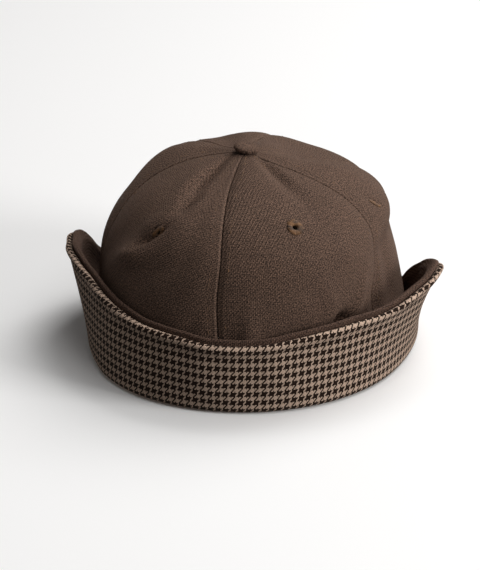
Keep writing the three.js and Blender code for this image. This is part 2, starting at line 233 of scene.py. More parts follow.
# %% Tables of the folds
SOFT_FOLDS = [
    (330, 0.75, 100, 20, 7, -2.4),    # crease falling from the button to the front left
    (52, 0.73, 78, 22, 9, -2.0),      # shallow valley from the button to the front right
    (100, 0.30, 0, 34, 18, -4.6),     # hollow above the cuff on the right
    (8, 0.02, 0, 62, 14, -2.4),       # foot of the front, drawn in by the cuff
    (182, 0.68, 90, 30, 16, 2.5),     # swell at the back
    (213, 0.75, 90, 24, 9, -2.5),     # dip at the back left
    (248, 0.64, 0, 22, 20, 3.0),      # left shoulder, standing out
    (148, 0.68, 0, 26, 22, -5.5),     # right shoulder, sunk at the back
]
FINE_FOLDS = [
    (329, 0.77, 101, 17, 2.4, -3.4),  # sharp start of the front left crease
    (335, 0.63, 68, 8, 2.4, -2.4),    # its lower end
    (319, 0.76, 102, 15, 3.6, 1.3),   # ridge on its left
    (347, 0.68, 84, 20, 4.5, -1.0),   # hollow between it and the front seam
    (325.5, 0.468, 53, 9, 1.6, -4.4),  # crease that pinches the front left eyelet
    (322, 0.51, 61, 11, 4.0, 1.0),    # cloth heaped up on its left
    (318.5, 0.365, 35, 11, 6, 4.4),   # swelling below that crease
    (334, 0.36, 40, 16, 7, -1.3),     # hollow on the right of the swelling
    (344, 0.42, 80, 24, 9, -1.2),     # broad hollow between that crease and the front seam
    (14, 0.19, 94, 13, 5.0, 1.7),     # upright ridge above the cuff at the front
    (6.5, 0.17, 92, 8, 4.0, -0.5),    # valley on its left
    (28, 0.15, 14, 14, 8.0, -3.0),    # cloth drawn in on its right
    (49.5, 0.176, 8, 4.6, 4.0, -9),   # dimple where the cuff presses in
    (57.5, 0.22, 60, 13, 3.6, 2.4),   # tuck rising from the dimple
    (44, 0.26, 110, 16, 5, 1.0),      # another, falling to the left
    (69, 0.195, 70, 12, 6, -2.2),     # dent at the foot of the right seam
    (81, 0.25, 86, 22, 9, -2.2),      # hollow behind the right seam
    (55, 0.79, 78, 18, 4, -2.6),      # sharp start of the front right valley
    (64, 0.80, 74, 18, 4, 1.0),       # ridge between it and the right seam
    (300, 0.30, 60, 22, 8, -1.4),     # slack in the front left panel
    (352, 0.20, 60, 12, 5, -0.7),     # small drag line at the foot of the front seam
    (195, 0.36, 80, 20, 7, 1.0),      # slack at the back
    (165, 0.25, 100, 16, 6, -1.0),    # slack in the three back panels
    (222, 0.25, 84, 16, 6, -0.9),
    (262, 0.33, 96, 18, 7, -1.1),     # slack at the left side
    (118, 0.42, 70, 16, 6, 0.9),      # slack at the right side
    (96, 0.42, 0, 20, 7, 1.6),        # shoulder above the hollow on the right
    (88, 0.33, 0, 18, 5, -1.3),       # and its lower edge
    (90, 0.485, -61, 7, 1.6, -1.4),   # crease that pinches the side right eyelet
]

# %% [markdown]
# ## Reading a table smoothly
# Between two rows the values follow a cubic curve whose slope at each row comes from the rows on
# either side of it, so the surface has no ridge at a row. A table that goes right round the cap
# is read with a period of 360 degrees and closes on itself.


# %% Smooth table reader
def between(table, places, period=0.0):
    """The rows of a table at any places along its first column."""
    rows = np.array(table, float)
    places = np.asarray(places, float)
    if period:
        lap = np.zeros(rows.shape[1])
        lap[0] = period
        rows = np.vstack([rows[-1] - lap, rows, rows[0] + lap, rows[1] + lap])
        places = np.mod(places, period)
    else:
        rows = np.vstack([rows[0], rows, rows[-1]])
    start = np.clip(np.searchsorted(rows[:, 0], places, side="right") - 1, 1, len(rows) - 3)
    before, low, high, after = (rows[start + step] for step in (-1, 0, 1, 2))
    length = (high - low)[..., :1]
    t = (places[..., None] - low[..., :1]) / length
    slope_low = (high - before) / (high - before)[..., :1] * length
    slope_high = (after - low) / (after - low)[..., :1] * length
    return ((2 * t**3 - 3 * t**2 + 1) * low + (t**3 - 2 * t**2 + t) * slope_low
            + (3 * t**2 - 2 * t**3) * high + (t**3 - t**2) * slope_high)


def smoothstep(low, high, value):
    """0 below low, 1 above high, and an even S between them."""
    t = np.clip((value - low) / (high - low), 0, 1)
    return t * t * (3 - 2 * t)


# %% Places on the crown
def seam_angle(name, along):
    base, top, bow = SEAMS[name]
    return base + (top - base) * along + bow * 4 * along * (1 - along)


def plain_crown(angle, along):
    """Points of the dome before it swells, sinks at its seams or creases."""
    section = between(CROWN_SECTIONS, along)
    height, half_width, half_depth, shift = np.moveaxis(section[..., 1:], -1, 0)
    turn = np.radians(angle)
    return np.stack([half_width * np.sin(turn) + shift, -half_depth * np.cos(turn),
                     height + 0 * turn], -1)


def crown_normal(angle, along):
    """Outward directions of that dome."""
    step = 0.01
    low, high = np.maximum(along - step, 0), np.minimum(along + step, 1 - step)
    up = plain_crown(angle, high) - plain_crown(angle, low)
    round_cap = plain_crown(angle + 1, along) - plain_crown(angle - 1, along)
    normal = np.cross(round_cap, up)
    return normal / np.linalg.norm(normal, axis=-1, keepdims=True)


def mean_radius(along):
    section = between(CROWN_SECTIONS, along)
    return np.maximum((section[..., 2] + section[..., 3]) / 2, 1.0)


def turn_between(angle, other):
    """The smaller turn from one angle to another, in degrees."""
    return np.mod(angle - other + 180, 360) - 180


# %% [markdown]
# ## How the cloth leaves the dome
# Each panel swells a little between its seams, because the seams draw the cloth in. On top of
# that come the folds from the tables: each is a smooth bump, stretched along its own direction,
# that fades out over the length and width given. A scatter of very small bumps keeps the large
# fields between the seams from looking machined.

# %% Swelling and folds
PILLOW = 1.6             # how far a panel swells
SWELL_REACH = 35.0       # distance from a seam to where it swells fully
SEAM_DEPTH = 0.9
SEAM_SPREAD = 5.0
HELD_SHARE = 0.2         # lowest part of the crown, which the rim holds flat
CALM_RADIUS = 25.0       # round the button, swelling and furrows fade out

chance = np.random.default_rng(7)      # seeded, so each run draws the same cloth
RUMPLE_COUNT = 90
RUMPLE_RANGES = [(0, 360), (0.12, 0.9), (0, 180), (7, 20), (3, 8), (-0.45, 0.45)]
RUMPLES = np.stack([chance.uniform(low, high, RUMPLE_COUNT) for low, high in RUMPLE_RANGES], 1)


def folded(angle, along, folds):
    """The height that a table of folds adds at each place."""
    radius = mean_radius(along)
    height = np.zeros(np.broadcast(angle, along).shape)
    for fold_angle, fold_along, fold_turn, length, width, depth in folds:
        across = np.radians(turn_between(angle, fold_angle)) * radius
        upward = (along - fold_along) * MERIDIAN_LENGTH
        heading = math.radians(fold_turn)
        lengthwise = across * math.cos(heading) + upward * math.sin(heading)
        sideways = upward * math.cos(heading) - across * math.sin(heading)
        height += depth * np.exp(-(lengthwise / length)**2 - (sideways / width)**2)
    return height


def crown_relief(angle, along):
    """How far the cloth stands out from the dome, seam finish aside."""
    radius = mean_radius(along)
    nearest = np.full(np.broadcast(angle, along).shape, 1e6)
    for name in SEAMS:
        gap = np.abs(np.radians(turn_between(angle, seam_angle(name, along)))) * radius
        nearest = np.minimum(nearest, gap)
    fade = np.minimum(np.minimum(radius / CALM_RADIUS, along / HELD_SHARE), 1)
    relief = PILLOW * fade * np.sin(np.minimum(nearest / SWELL_REACH, 1) * math.pi / 2)
    relief -= SEAM_DEPTH * fade * np.exp(-(nearest / SEAM_SPREAD)**2)
    fine = folded(angle, along, FINE_FOLDS) + folded(angle, along, RUMPLES)
    return relief + folded(angle, along, SOFT_FOLDS) + fine * smoothstep(0.05, 0.12, along)


print("crown top at", plain_crown(np.array(0.0), np.array(1.0)).round(1), "mm")

# %% [markdown]
# ## A seam, close up
# Two panels are sewn with their edges turned in, the turned-in cloth is pressed flat to both
# sides, and a row of stitches 5 mm from the seam holds it down. From outside that gives four
# things: a raised strip beside the seam where the cloth is double, a fine groove where the
# stitches bite, a rounded edge that dives into the seam, and one edge that laps a little over its
# neighbour. All four are written as heights over the distance from the seam.

# %% Seam finish
ALLOWANCE = 5.0          # from the seam to the row of stitches
ALLOWANCE_RISE = 0.24    # how far the doubled cloth stands up
STITCH_PITCH = 3.1
BITE_DEPTH = 0.26        # of the groove that the stitches pull in
BITE_WIDTH = 0.75
EDGE_ROLL = 1.1          # width over which an edge rounds down into the seam
EDGE_DROP = 1.2
FRONT_LAP = 0.32         # how far the upper edge stands over the lower one at the front
FRONT_TUCK = -0.3        # and how far the lower one is pressed down
SIDE_LAP = 0.15          # the same lap at the other seams
LAP_PLACE = 1.1          # distance from the seam where a lap stands highest
LAP_WIDTH = 1.3
FULL_WIDTH = 24.0        # a panel narrower than this has a smaller seam finish
LEAST_FINISH = 0.15      # its smallest share


def finish_scale(width):
    """How much of the seam finish is left where a panel runs out towards the button."""
    return np.clip(width / FULL_WIDTH, LEAST_FINISH, 1)


def seam_finish(distance, run, width, lap):
    """Height beside a seam: distance from it, run along it, the panel's width, and its lap."""
    scale = finish_scale(width)
    away = distance / scale
    height = ALLOWANCE_RISE * (1 - smoothstep(ALLOWANCE - 0.2, ALLOWANCE + 2.2, away))
    bite = 0.7 + 0.3 * np.cos(2 * math.pi * run / STITCH_PITCH)
    height -= BITE_DEPTH * bite * np.exp(-((away - ALLOWANCE) / BITE_WIDTH)**2)
    inside = np.clip(1 - away / EDGE_ROLL, 0, 1)
    height -= EDGE_DROP * (1 - np.sqrt(1 - inside**2))
    height += lap * np.exp(-((away - LAP_PLACE) / LAP_WIDTH)**2)
    return height * scale


# %% [markdown]
# ## Six panels
# A panel starts as a flat grid primitive. The hole for the eyelet is opened in it by deleting
# the faces there, the sheet is extruded into a closed skin with an outer and an inner side, and
# each vertex is then moved to its place on the crown. The columns of the grid crowd together near
# both seams, where the rounded edges need them. A UV map holds the distance in millimetres
# across and up the cloth, measured on the cloth itself, so the weave runs straight up the middle
# of each panel and is cut off by the seams, as in a real cap.

# %% Cloth helpers
def deselect():
    if bpy.context.object and bpy.context.object.mode != "OBJECT":
        bpy.ops.object.mode_set(mode="OBJECT")
    bpy.ops.object.select_all(action="DESELECT")


def activate(piece):
    deselect()
    piece.select_set(True)
    bpy.context.view_layer.objects.active = piece


def corners_of(piece):
    points = np.zeros(3 * len(piece.data.vertices))
    piece.data.vertices.foreach_get("co", points)
    return points.reshape(-1, 3)


def move_corners(piece, points):
    piece.data.vertices.foreach_set("co", np.ascontiguousarray(points, float).ravel())
    piece.data.update()


def point_outwards(piece):
    activate(piece)
    bpy.ops.object.mode_set(mode="EDIT")
    bpy.ops.mesh.select_all(action="SELECT")
    bpy.ops.mesh.normals_make_consistent(inside=False)
    bpy.ops.object.mode_set(mode="OBJECT")
    bpy.ops.object.shade_smooth()


def write_uv(piece, loop_uv):
    """Stores one pair of millimetres for each corner of each face, in place of any UV map."""
    while piece.data.uv_layers:
        piece.data.uv_layers.remove(piece.data.uv_layers[0])
    layer = piece.data.uv_layers.new(name="cloth_mm")
    layer.data.foreach_set("uv", np.ascontiguousarray(loop_uv, float).ravel())


def write_attribute(piece, name, values):
    """Stores one number for each vertex, for a material to read."""
    layer = piece.data.attributes.new(name, "FLOAT", "POINT")
    layer.data.foreach_set("value", np.ascontiguousarray(values, float))


def loop_corners(piece):
    corners = np.zeros(len(piece.data.loops), int)
    piece.data.loops.foreach_get("vertex_index", corners)
    return corners


def cloth_area(piece):
    """Half of the skin's area in square centimetres, as the cloth has two sides."""
    areas = np.zeros(len(piece.data.polygons))
    piece.data.polygons.foreach_get("area", areas)
    return round(areas.sum() / 2 * 1e4, 1)


# %% Where a grid's columns and rows fall on a panel
COLUMNS = 84
ROWS = 104
CROWDING = 0.78          # 0 spaces the columns evenly, near 1 they bunch at the seams
EYELET_HOLE = 2.3        # radius of the hole that the thread is worked round
HOLE_MARGIN = 0.25       # vertices this far outside it are still drawn onto its edge

share = np.linspace(1, 0, 501)
PANEL_TOP = float(share[between(CROWN_SECTIONS, share)[:, 2] >= PANEL_TOP_RADIUS][0])


def panel_span(panel, along):
    """The angle where a panel starts, the angle that it covers and its width in millimetres."""
    half_gap = np.degrees(SEWN_GAP / 2 / between(CROWN_SECTIONS, along)[..., 2])
    start = seam_angle(panel.first_seam, along) + half_gap
    span = np.mod(seam_angle(panel.last_seam, along) - half_gap - start, 360)
    return start, span, np.radians(span) * mean_radius(along)


def grid_shares(piece):
    """Each vertex's shares across and up the panel, and whether it is on the outer side."""
    flat = corners_of(piece)
    even = (flat[:, 0] + 1) / 2
    across = even - CROWDING * np.sin(2 * math.pi * even) / (2 * math.pi)
    return across, (flat[:, 1] + 1) / 2 * PANEL_TOP, flat[:, 2] > -0.5


def from_eyelet(panel, across, along):
    """Millimetres across and up the cloth from the middle of the panel's eyelet."""
    start, span, _ = panel_span(panel, along)
    turn = turn_between(start + across * span, panel.eyelet_angle)
    return np.radians(turn) * mean_radius(along), (along - panel.eyelet_along) * MERIDIAN_LENGTH


# %% The outer side of a panel
def panel_cloth(panel, across, along):
    """Outer points of a panel's cloth, given shares across and up it."""
    start, span, width = panel_span(panel, along)
    angle = start + across * span
    run = along * MERIDIAN_LENGTH
    lap_first = FRONT_TUCK if panel.first_seam == "front" else 0.0
    lap_last = FRONT_LAP if panel.last_seam == "front" else SIDE_LAP
    finish = seam_finish(across * width, run, width, lap_first)
    finish += seam_finish((1 - across) * width, run, width, lap_last)
    relief = crown_relief(angle, along) + finish * smoothstep(0.02, 0.12, along)
    return plain_crown(angle, along) + crown_normal(angle, along) * relief[..., None]


# %% Making the panels
def make_panel(panel):
    deselect()
    bpy.ops.mesh.primitive_grid_add(x_subdivisions=COLUMNS, y_subdivisions=ROWS, size=2)
    piece = bpy.context.object
    piece.name = "panel_" + panel.name

    # Open the hole: the faces whose corners all lie inside it go.
    across, along, _ = grid_shares(piece)
    near = np.hypot(*from_eyelet(panel, across, along)) < EYELET_HOLE + HOLE_MARGIN
    bpy.ops.object.mode_set(mode="EDIT")
    mesh = bmesh.from_edit_mesh(piece.data)
    inside = [face for face in mesh.faces if all(near[v.index] for v in face.verts)]
    bmesh.ops.delete(mesh, geom=inside, context="FACES")
    bmesh.update_edit_mesh(piece.data)

    # Extrude the sheet into a skin with two sides.
    bpy.ops.mesh.select_all(action="SELECT")
    bpy.ops.mesh.extrude_region_move(TRANSFORM_OT_translate={"value": (0, 0, -1)})
    bpy.ops.object.mode_set(mode="OBJECT")

    # The edge of the hole is drawn out into a true circle.
    across, along, outer = grid_shares(piece)
    sideways, upward = from_eyelet(panel, across, along)
    reach = np.hypot(sideways, upward)
    grow = np.where(reach < EYELET_HOLE + HOLE_MARGIN, EYELET_HOLE / np.maximum(reach, 1e-3), 1)
    _, span, _ = panel_span(panel, along)
    across = across + np.degrees(sideways * (grow - 1) / mean_radius(along)) / span
    along = along + upward * (grow - 1) / MERIDIAN_LENGTH

    # Move both sides to the crown.
    start, span, width = panel_span(panel, along)
    angle = start + across * span
    lining = plain_crown(angle, along) + crown_normal(angle, along) * (
        crown_relief(angle, along) - PANEL_THICKNESS)[:, None]
    skin = np.where(outer[:, None], panel_cloth(panel, across, along), lining)
    move_corners(piece, skin * MM)
    point_outwards(piece)

    # Millimetres across and up the cloth, for the weave, and wear along the sewn edges.
    cloth = np.stack([(across - 0.5) * width, along * MERIDIAN_LENGTH], 1)
    write_uv(piece, cloth[loop_corners(piece)])
    edge = np.minimum(across, 1 - across) * width
    write_attribute(piece, "wear", np.exp(-((edge - 0.9) / 0.9)**2) * outer)
    print(piece.name, len(piece.data.polygons), "faces,", cloth_area(piece), "cm2")
    return piece


panels = {panel.name: make_panel(panel) for panel in PANELS}

# %% [markdown]
# ## The cuff
# The ear flap is one long band of checked wool, turned up and joined into a ring. Behind it
# stands its brown facing, which rolls over at the top and shows as a narrow bead above the
# checks. Each row of the table is a place round the cap: how high the wall stands there, how far
# its foot and its top edge stand out from the oval of the rim, how much it bellies in between,
# and how late it turns outward.

# %% Table of the cuff
RIM_HALF_WIDTH = 92.0
RIM_HALF_DEPTH = 107.0

CUFF_SECTIONS = [  # angle, height, foot, lean, belly, curl
    (0, 39.6, -2.2, -1, 0.3, 2),
    (15, 39.8, -2.2, -1, 0, 2),
    (30, 41.9, -1.5, -0.7, 0, 2),
    (45, 44.1, -0.3, 1.3, 0, 2),
    (60, 45.1, 0.5, 6.6, 0, 2),
    (75, 49.8, 0, 12.4, 0, 1.7),
    (80, 51.6, 0, 13.8, 0, 1.8),
    (85, 52.3, 0, 14, 0, 2),
    (90, 49.8, 0, 11.8, 0, 2),
    (95, 45.2, 0, 7.6, 0, 2),
    (100, 39, 0, 3.8, 0.2, 1.9),
    (106, 32, 0, 1.4, 0.3, 1.6),
    (112, 24.5, 0, 0.2, 0.4, 1.4),
    (117, 17, 0, -0.3, 0.5, 1.2),
    (123, 12, 0, -0.4, 0.5, 1),
    (133, 12.5, 0, -0.4, 0.5, 1),
    (148, 17.5, 0, -0.3, 0.5, 1),
    (165, 22, 0, 0.1, 0.5, 1),
    (180, 23.5, 0, 0.5, 0.5, 1),
    (205, 23.5, 0, 1.4, 0.5, 1),
    (235, 23, 0, 1.8, 0.5, 1),
    (254, 24, 0, 2, 1, 1),
    (258, 28, 0, 6.5, 1.2, 1.2),
    (262, 34.8, 0, 9.7, 1.5, 1.3),
    (266, 42.5, 0, 10.5, 1.5, 1.3),
    (270, 49.5, 0, 12.2, 1, 1.3),
    (275, 52.6, 0, 12.3, 1, 1.3),
    (280, 53.3, 0, 11.2, 1, 1.3),
    (285, 54, 0, 10.3, 1, 1.3),
    (295, 53, 0.5, 5.5, 1.2, 1.6),
    (305, 51, 1, 3, 1.5, 2),
    (315, 48, 2.2, 1.3, 1, 2),
    (330, 43.5, 1.3, 0, 0.4, 2),
    (345, 41.6, -0.9, -0.6, 0.3, 2),
]


def cuff_point(angle, inset, share, rise):
    """Points of the cuff: inset behind its outer face, share of its height, rise above that."""
    section = between(CUFF_SECTIONS, angle, period=360.0)
    height, foot, lean, belly, curl = np.moveaxis(section[..., 1:], -1, 0)
    level = share * height + rise
    climbed = level / height
    out = (foot * (1 - climbed) + lean * np.maximum(climbed, 0)**curl
           + belly * np.sin(math.pi * np.clip(climbed, 0, 1)) - inset)
    turn = np.radians(angle)
    outward = np.stack([np.sin(turn) / RIM_HALF_WIDTH, -np.cos(turn) / RIM_HALF_DEPTH], -1)
    outward /= np.linalg.norm(outward, axis=-1, keepdims=True)
    return np.stack([RIM_HALF_WIDTH * np.sin(turn) + outward[..., 0] * out,
                     -RIM_HALF_DEPTH * np.cos(turn) + outward[..., 1] * out,
                     level + 0 * turn], -1)


# %% [markdown]
# ## A ring of cloth from a torus
# A torus primitive is already a closed ring with a closed section, which is what a folded band
# is. Its round section is traded for the band's own, which is listed as stations: how far each
# lies behind the outer face, its share of the wall's height, and a rise added to that. Every
# vertex moves to its station on the cuff. The millimetres for the weave are then measured on the
# moved points, round the rim and up along the wall, so the checks keep their size where the wall
# leans, bulges or rolls over.

# %% Ring helper
CUFF_STEPS = 540


def arc(inset, rise, radius, first, last, count, share):
    """Stations on a round fold, between two angles measured from the outward direction."""
    turns = np.radians(np.linspace(first, last, count, endpoint=False))
    return [(inset - radius * math.cos(t), share, rise + radius * math.sin(t)) for t in turns]


def wall(inset, low, high, count, rise_low, rise_high):
    """Stations up or down a wall, as shares of its height with a rise added."""
    steps = np.linspace(0, 1, count, endpoint=False)
    return [(inset, low + (high - low) * s, rise_low + (rise_high - rise_low) * s) for s in steps]


def along_foot(first, last, count, rise):
    """Stations along the foot from one inset to another, all at one height."""
    steps = np.linspace(0, 1, count, endpoint=False)
    return [(first + (last - first) * s, 0, rise) for s in steps]


def sweep_cuff(name, stations, zero_station, sway):
    """A closed ring of cloth whose section passes through the stations."""
    deselect()
    bpy.ops.mesh.primitive_torus_add(major_segments=CUFF_STEPS, minor_segments=len(stations),
                                     major_radius=10.0, minor_radius=1.0)
    piece = bpy.context.object
    piece.name = name
    ring = corners_of(piece)
    around = np.round(np.degrees(np.arctan2(ring[:, 0], -ring[:, 1])) / 360 * CUFF_STEPS)
    around = np.mod(around, CUFF_STEPS).astype(int)
    section_turn = np.arctan2(ring[:, 2], np.hypot(ring[:, 0], ring[:, 1]) - 10.0)
    station = np.round(section_turn / (2 * math.pi) * len(stations)).astype(int)
    station = np.mod(station, len(stations))

    # Steps start at the back, so the weave meets itself behind the cap.
    angles = np.arange(CUFF_STEPS + 1) / CUFF_STEPS * 360 - 180
    inset, share, rise = (np.array(column) for column in zip(*stations))
    grid = cuff_point(angles[:, None], inset[None], share[None], rise[None])
    grid = sway(grid, angles[:, None], inset[None], share[None], rise[None])
    column = np.mod(around - CUFF_STEPS // 2, CUFF_STEPS)
    move_corners(piece, grid[column, station] * MM)
    point_outwards(piece)

    # Distances round the rim and along the section, starting at the fold.
    round_rim = np.linalg.norm(np.diff(grid[:, zero_station], axis=0), axis=1)
    round_rim = np.concatenate([[0], np.cumsum(round_rim)])
    closed = np.concatenate([grid, grid[:, :1]], 1)
    up_wall = np.linalg.norm(np.diff(closed, axis=1), axis=2)
    up_wall = np.concatenate([np.zeros((len(grid), 1)), np.cumsum(up_wall, 1)], 1)
    up_wall -= up_wall[:, zero_station:zero_station + 1]

    corners = loop_corners(piece).reshape(-1, 4)
    columns, rows = column[corners], station[corners]
    columns = np.where((columns == 0) & (columns.max(1, keepdims=True) > CUFF_STEPS // 2),
                       CUFF_STEPS, columns)
    rows = np.where((rows == 0) & (rows.max(1, keepdims=True) > len(stations) // 2),
                    len(stations), rows)
    write_uv(piece, np.stack([round_rim[columns], up_wall[columns, rows]], -1).reshape(-1, 2))
    print(name, len(piece.data.polygons), "faces, rim", round(round_rim[-1], 1), "mm,",
          cloth_area(piece), "cm2")
    return piece, round_rim[-1]


# %% Checked band
BAND_THICKNESS = 2.0
LIP_WIDTH = 7.6          # the band's foot turns in under the crown as a lip
LIP_THICKNESS = 2.0
ROLL_RADIUS = 3.4        # of the fold at the foot
TOP_ROLL = 2.0           # radius of the band's folded top edge
ROLL_INSET = 0.7         # its middle, behind the band's outer face
NECK = 5.5               # how far below the top both layers lie flat again
SHOULDER_START = -6.4    # where the wall starts to swell out to the roll, below the top
SHOULDER = [(-0.15, -5.5), (-0.50, -4.6), (-0.95, -3.6), (-1.22, -2.7)]   # inset and rise
LIP_END_STEPS, LIP_STEPS, FOLD_STEPS = 3, 4, 8
FOLD_STATION = LIP_END_STEPS + LIP_STEPS + FOLD_STEPS // 2
WAVES = [(9, 0.6, 0.30), (17, 2.1, 0.22), (31, 4.0, 0.14)]   # count, start in radians, height
HUMP = 0.25


def level_outward(angle, share):
    """Level directions from the middle of the cap."""
    turn = np.radians(angle) + 0 * share
    return np.stack([np.sin(turn), -np.cos(turn), 0 * turn], -1)


def band_sway(grid, angle, inset, share, rise):
    """Slight unevenness of the wall, none at the foot that stands on the table."""
    turn = np.radians(angle)
    up = np.clip(share, 0, 1)
    wave = sum(height * np.sin(count * turn + start) for count, start, height in WAVES) * up**1.3
    hump = HUMP * np.sin(13 * turn + 1.0 + 3 * share) * np.sin(math.pi * up)
    return grid + level_outward(angle, share) * (wave + hump)[..., None]


band_stations = (
    wall(LIP_WIDTH, 0, 0, LIP_END_STEPS, LIP_THICKNESS, 0.0)
    + along_foot(LIP_WIDTH, ROLL_RADIUS, LIP_STEPS, 0.0)
    + arc(ROLL_RADIUS, ROLL_RADIUS, ROLL_RADIUS, -90, 0, FOLD_STEPS, 0)
    + wall(0.0, 0, 1, 40, ROLL_RADIUS, SHOULDER_START)
    + [(inset, 1, rise) for inset, rise in SHOULDER]
    + arc(ROLL_INSET, -TOP_ROLL, TOP_ROLL, 0, 180, 16, 1)
    + [(ROLL_INSET + TOP_ROLL, 1, -TOP_ROLL), (BAND_THICKNESS + 0.35, 1, -3.8)]
    + wall(BAND_THICKNESS, 1, 0, 14, -NECK, LIP_THICKNESS)
    + along_foot(BAND_THICKNESS, LIP_WIDTH, LIP_STEPS, LIP_THICKNESS)
)
band, rim_length = sweep_cuff("checked_band", band_stations, FOLD_STATION, band_sway)

# %% Brown facing
FACING_THICKNESS = 1.6
LAYER_GAP = 0.5          # air between the band and the facing
BEAD_RADIUS = 1.2        # of the narrow bead that the facing shows above the checks
BEAD_RISE = 0.9
FACING_SWELL = 2.3       # how far the facing billows in the two raised corners
SWELL_PLACE = 4.5        # below the top edge
SWELL_HEIGHT = 6.0
UNDER_BEAD = [(2.2, 0.1), (2.0, -0.5), (1.95, -1.2), (2.0, -2.1), (1.9, -3.2), (1.5, -4.3)]
HEM = [(0.2, 1.9), (0.8, 0.9), (1.6, 0.3), (2.5, 0.25), (2.5, 0.0)]   # foot turned in, on the lip

facing_outer = BAND_THICKNESS + LAYER_GAP
facing_inner = facing_outer + FACING_THICKNESS
behind_roll = ROLL_INSET + TOP_ROLL + 0.3
facing_foot = LIP_THICKNESS + 0.3
facing_stations = (
    wall(facing_outer, 0, 1, 14, facing_foot, -NECK)
    + [(facing_outer + 0.25, 1, -3.6), (behind_roll, 1, -TOP_ROLL), (behind_roll, 1, -0.6)]
    + arc(behind_roll + BEAD_RADIUS, BEAD_RISE, BEAD_RADIUS, 0, 190, 14, 1)
    + [(behind_roll + inset, 1, rise) for inset, rise in UNDER_BEAD]
    + wall(facing_inner, 1, 0, 34, -NECK, facing_foot + 2.6)
    + [(facing_inner + inset, 0, facing_foot + rise) for inset, rise in HEM]
)


def facing_sway(grid, angle, inset, share, rise):
    """The band's unevenness, and a soft swelling where the cuff stands away from the crown."""
    section = between(CUFF_SECTIONS, angle, period=360.0)
    below_top = (1 - share) * section[..., 1] - rise
    room = smoothstep(3.0, 11.0, section[..., 3])
    inner = smoothstep(facing_outer + 0.6, facing_inner - 0.2, inset)
    swell = FACING_SWELL * room * inner * np.exp(-((below_top - SWELL_PLACE) / SWELL_HEIGHT)**2)
    swayed = band_sway(grid, angle, inset, share, rise)
    return swayed - level_outward(angle, share) * swell[..., None]


facing, _ = sweep_cuff("brown_facing", facing_stations, 0, facing_sway)

# %% [markdown]
# ## Topstitching
# The seams are held by a row of brown stitches on each side, sunk into the wool so far that only
# some of them show. One stitch is modelled from a small cylinder: its ends are drawn in and bent
# down, as thread goes back into the cloth. All the other stitches are copies of it, each turned
# along its own stretch of cloth, and the copies along one seam are joined into one piece.

# %% One stitch
deselect()
bpy.ops.mesh.primitive_cylinder_add(vertices=6, radius=1, depth=2, end_fill_type="TRIFAN",
                                    rotation=(0, math.pi / 2, 0))
stitch = bpy.context.object
bpy.ops.object.transform_apply(location=False, rotation=True, scale=False)
bpy.ops.object.mode_set(mode="EDIT")
for cut in (-0.75, -0.35, 0.35, 0.75):
    bpy.ops.mesh.select_all(action="SELECT")
    bpy.ops.mesh.bisect(plane_co=(cut, 0, 0), plane_no=(1, 0, 0))
bpy.ops.object.mode_set(mode="OBJECT")
stitch_points = corners_of(stitch)
thin = np.sqrt(np.clip(1.02 - np.abs(stitch_points[:, 0])**2.5, 0.05, 1))
stitch_points[:, 1:] *= thin[:, None]
stitch_faces = [list(face.vertices) for face in stitch.data.polygons]
bpy.data.objects.remove(stitch)
print("one stitch:", len(stitch_points), "corners,", len(stitch_faces), "faces")


# %% Sewing copies together
STITCH_LENGTH = 2.3
THREAD_RADIUS = 0.27
THREAD_FLATTENED = 0.8   # its height over its width, pressed into the cloth
STITCH_BEND = 0.3        # how far its ends dive


def mesh_piece(name, points, faces):
    """A piece from its corners, in millimetres, and its faces."""
    mesh = bpy.data.meshes.new(name)
    mesh.from_pydata((np.concatenate(points) * MM).tolist(), [], faces)
    piece = bpy.data.objects.new(name, mesh)
    scene.collection.objects.link(piece)
    point_outwards(piece)
    return piece


def sew(name, stitches):
    """Joins copies of the stitch, each given by its middle, its run and its way up."""
    points, faces = [], []
    x, y, z = stitch_points.T
    for middle, ahead, up in stitches:
        faces += [[corner + len(stitch_points) * len(points) for corner in face]
                  for face in stitch_faces]
        points.append(middle + np.outer(x * STITCH_LENGTH / 2, ahead)
                      + np.outer(y * THREAD_RADIUS, np.cross(up, ahead))
                      + np.outer(z * THREAD_RADIUS * THREAD_FLATTENED - STITCH_BEND * x**2, up))
    return mesh_piece(name, points, faces)


# %% Rows of topstitching
ROW_START = 0.1          # along the crown, about where the cuff ends at the back
ROW_END = PANEL_TOP - 0.02
LEAST_ROOM = 0.35        # the rows stop where less than this share of the finish is left
ROW_WANDER = 0.08        # how far a stitch may sit off its row
STITCH_HEIGHTS = (-0.38, 0.1)     # lowest and highest over the cloth, so most of them are sunk


def panel_at(panel, angle, along, above=0.0):
    """A point on a panel's outer side or above it, given its angle and its place along."""
    start, span, _ = panel_span(panel, along)
    across = np.mod(angle - start + 180, 360) / span - 180 / span
    return panel_cloth(panel, across, along) + crown_normal(angle, along) * above


def stitch_row(panel, seam, side):
    """The stitches on one panel along one of its seams."""
    stitches = []
    for count in range(int(MERIDIAN_LENGTH * PANEL_TOP / STITCH_PITCH)):
        along = np.array((count + 0.5) * STITCH_PITCH / MERIDIAN_LENGTH)
        _, _, width = panel_span(panel, along)
        room = float(finish_scale(width))
        if not ROW_START <= along <= ROW_END or room < LEAST_ROOM:
            continue
        offset = ALLOWANCE * room + chance.normal(0, ROW_WANDER)
        turn = side * math.degrees((offset + SEWN_GAP / 2) / float(mean_radius(along)))
        low, high = (panel_at(panel, seam_angle(seam, end) + turn, end)
                     for end in (along - STITCH_LENGTH / 2 / MERIDIAN_LENGTH,
                                 along + STITCH_LENGTH / 2 / MERIDIAN_LENGTH))
        angle = seam_angle(seam, along) + turn
        up = crown_normal(angle, along)
        ahead = high - low
        ahead -= up * ahead.dot(up)
        ahead /= np.linalg.norm(ahead)
        middle = panel_at(panel, angle, along, above=chance.uniform(*STITCH_HEIGHTS))
        stitches.append((middle, ahead, up))
    return stitches


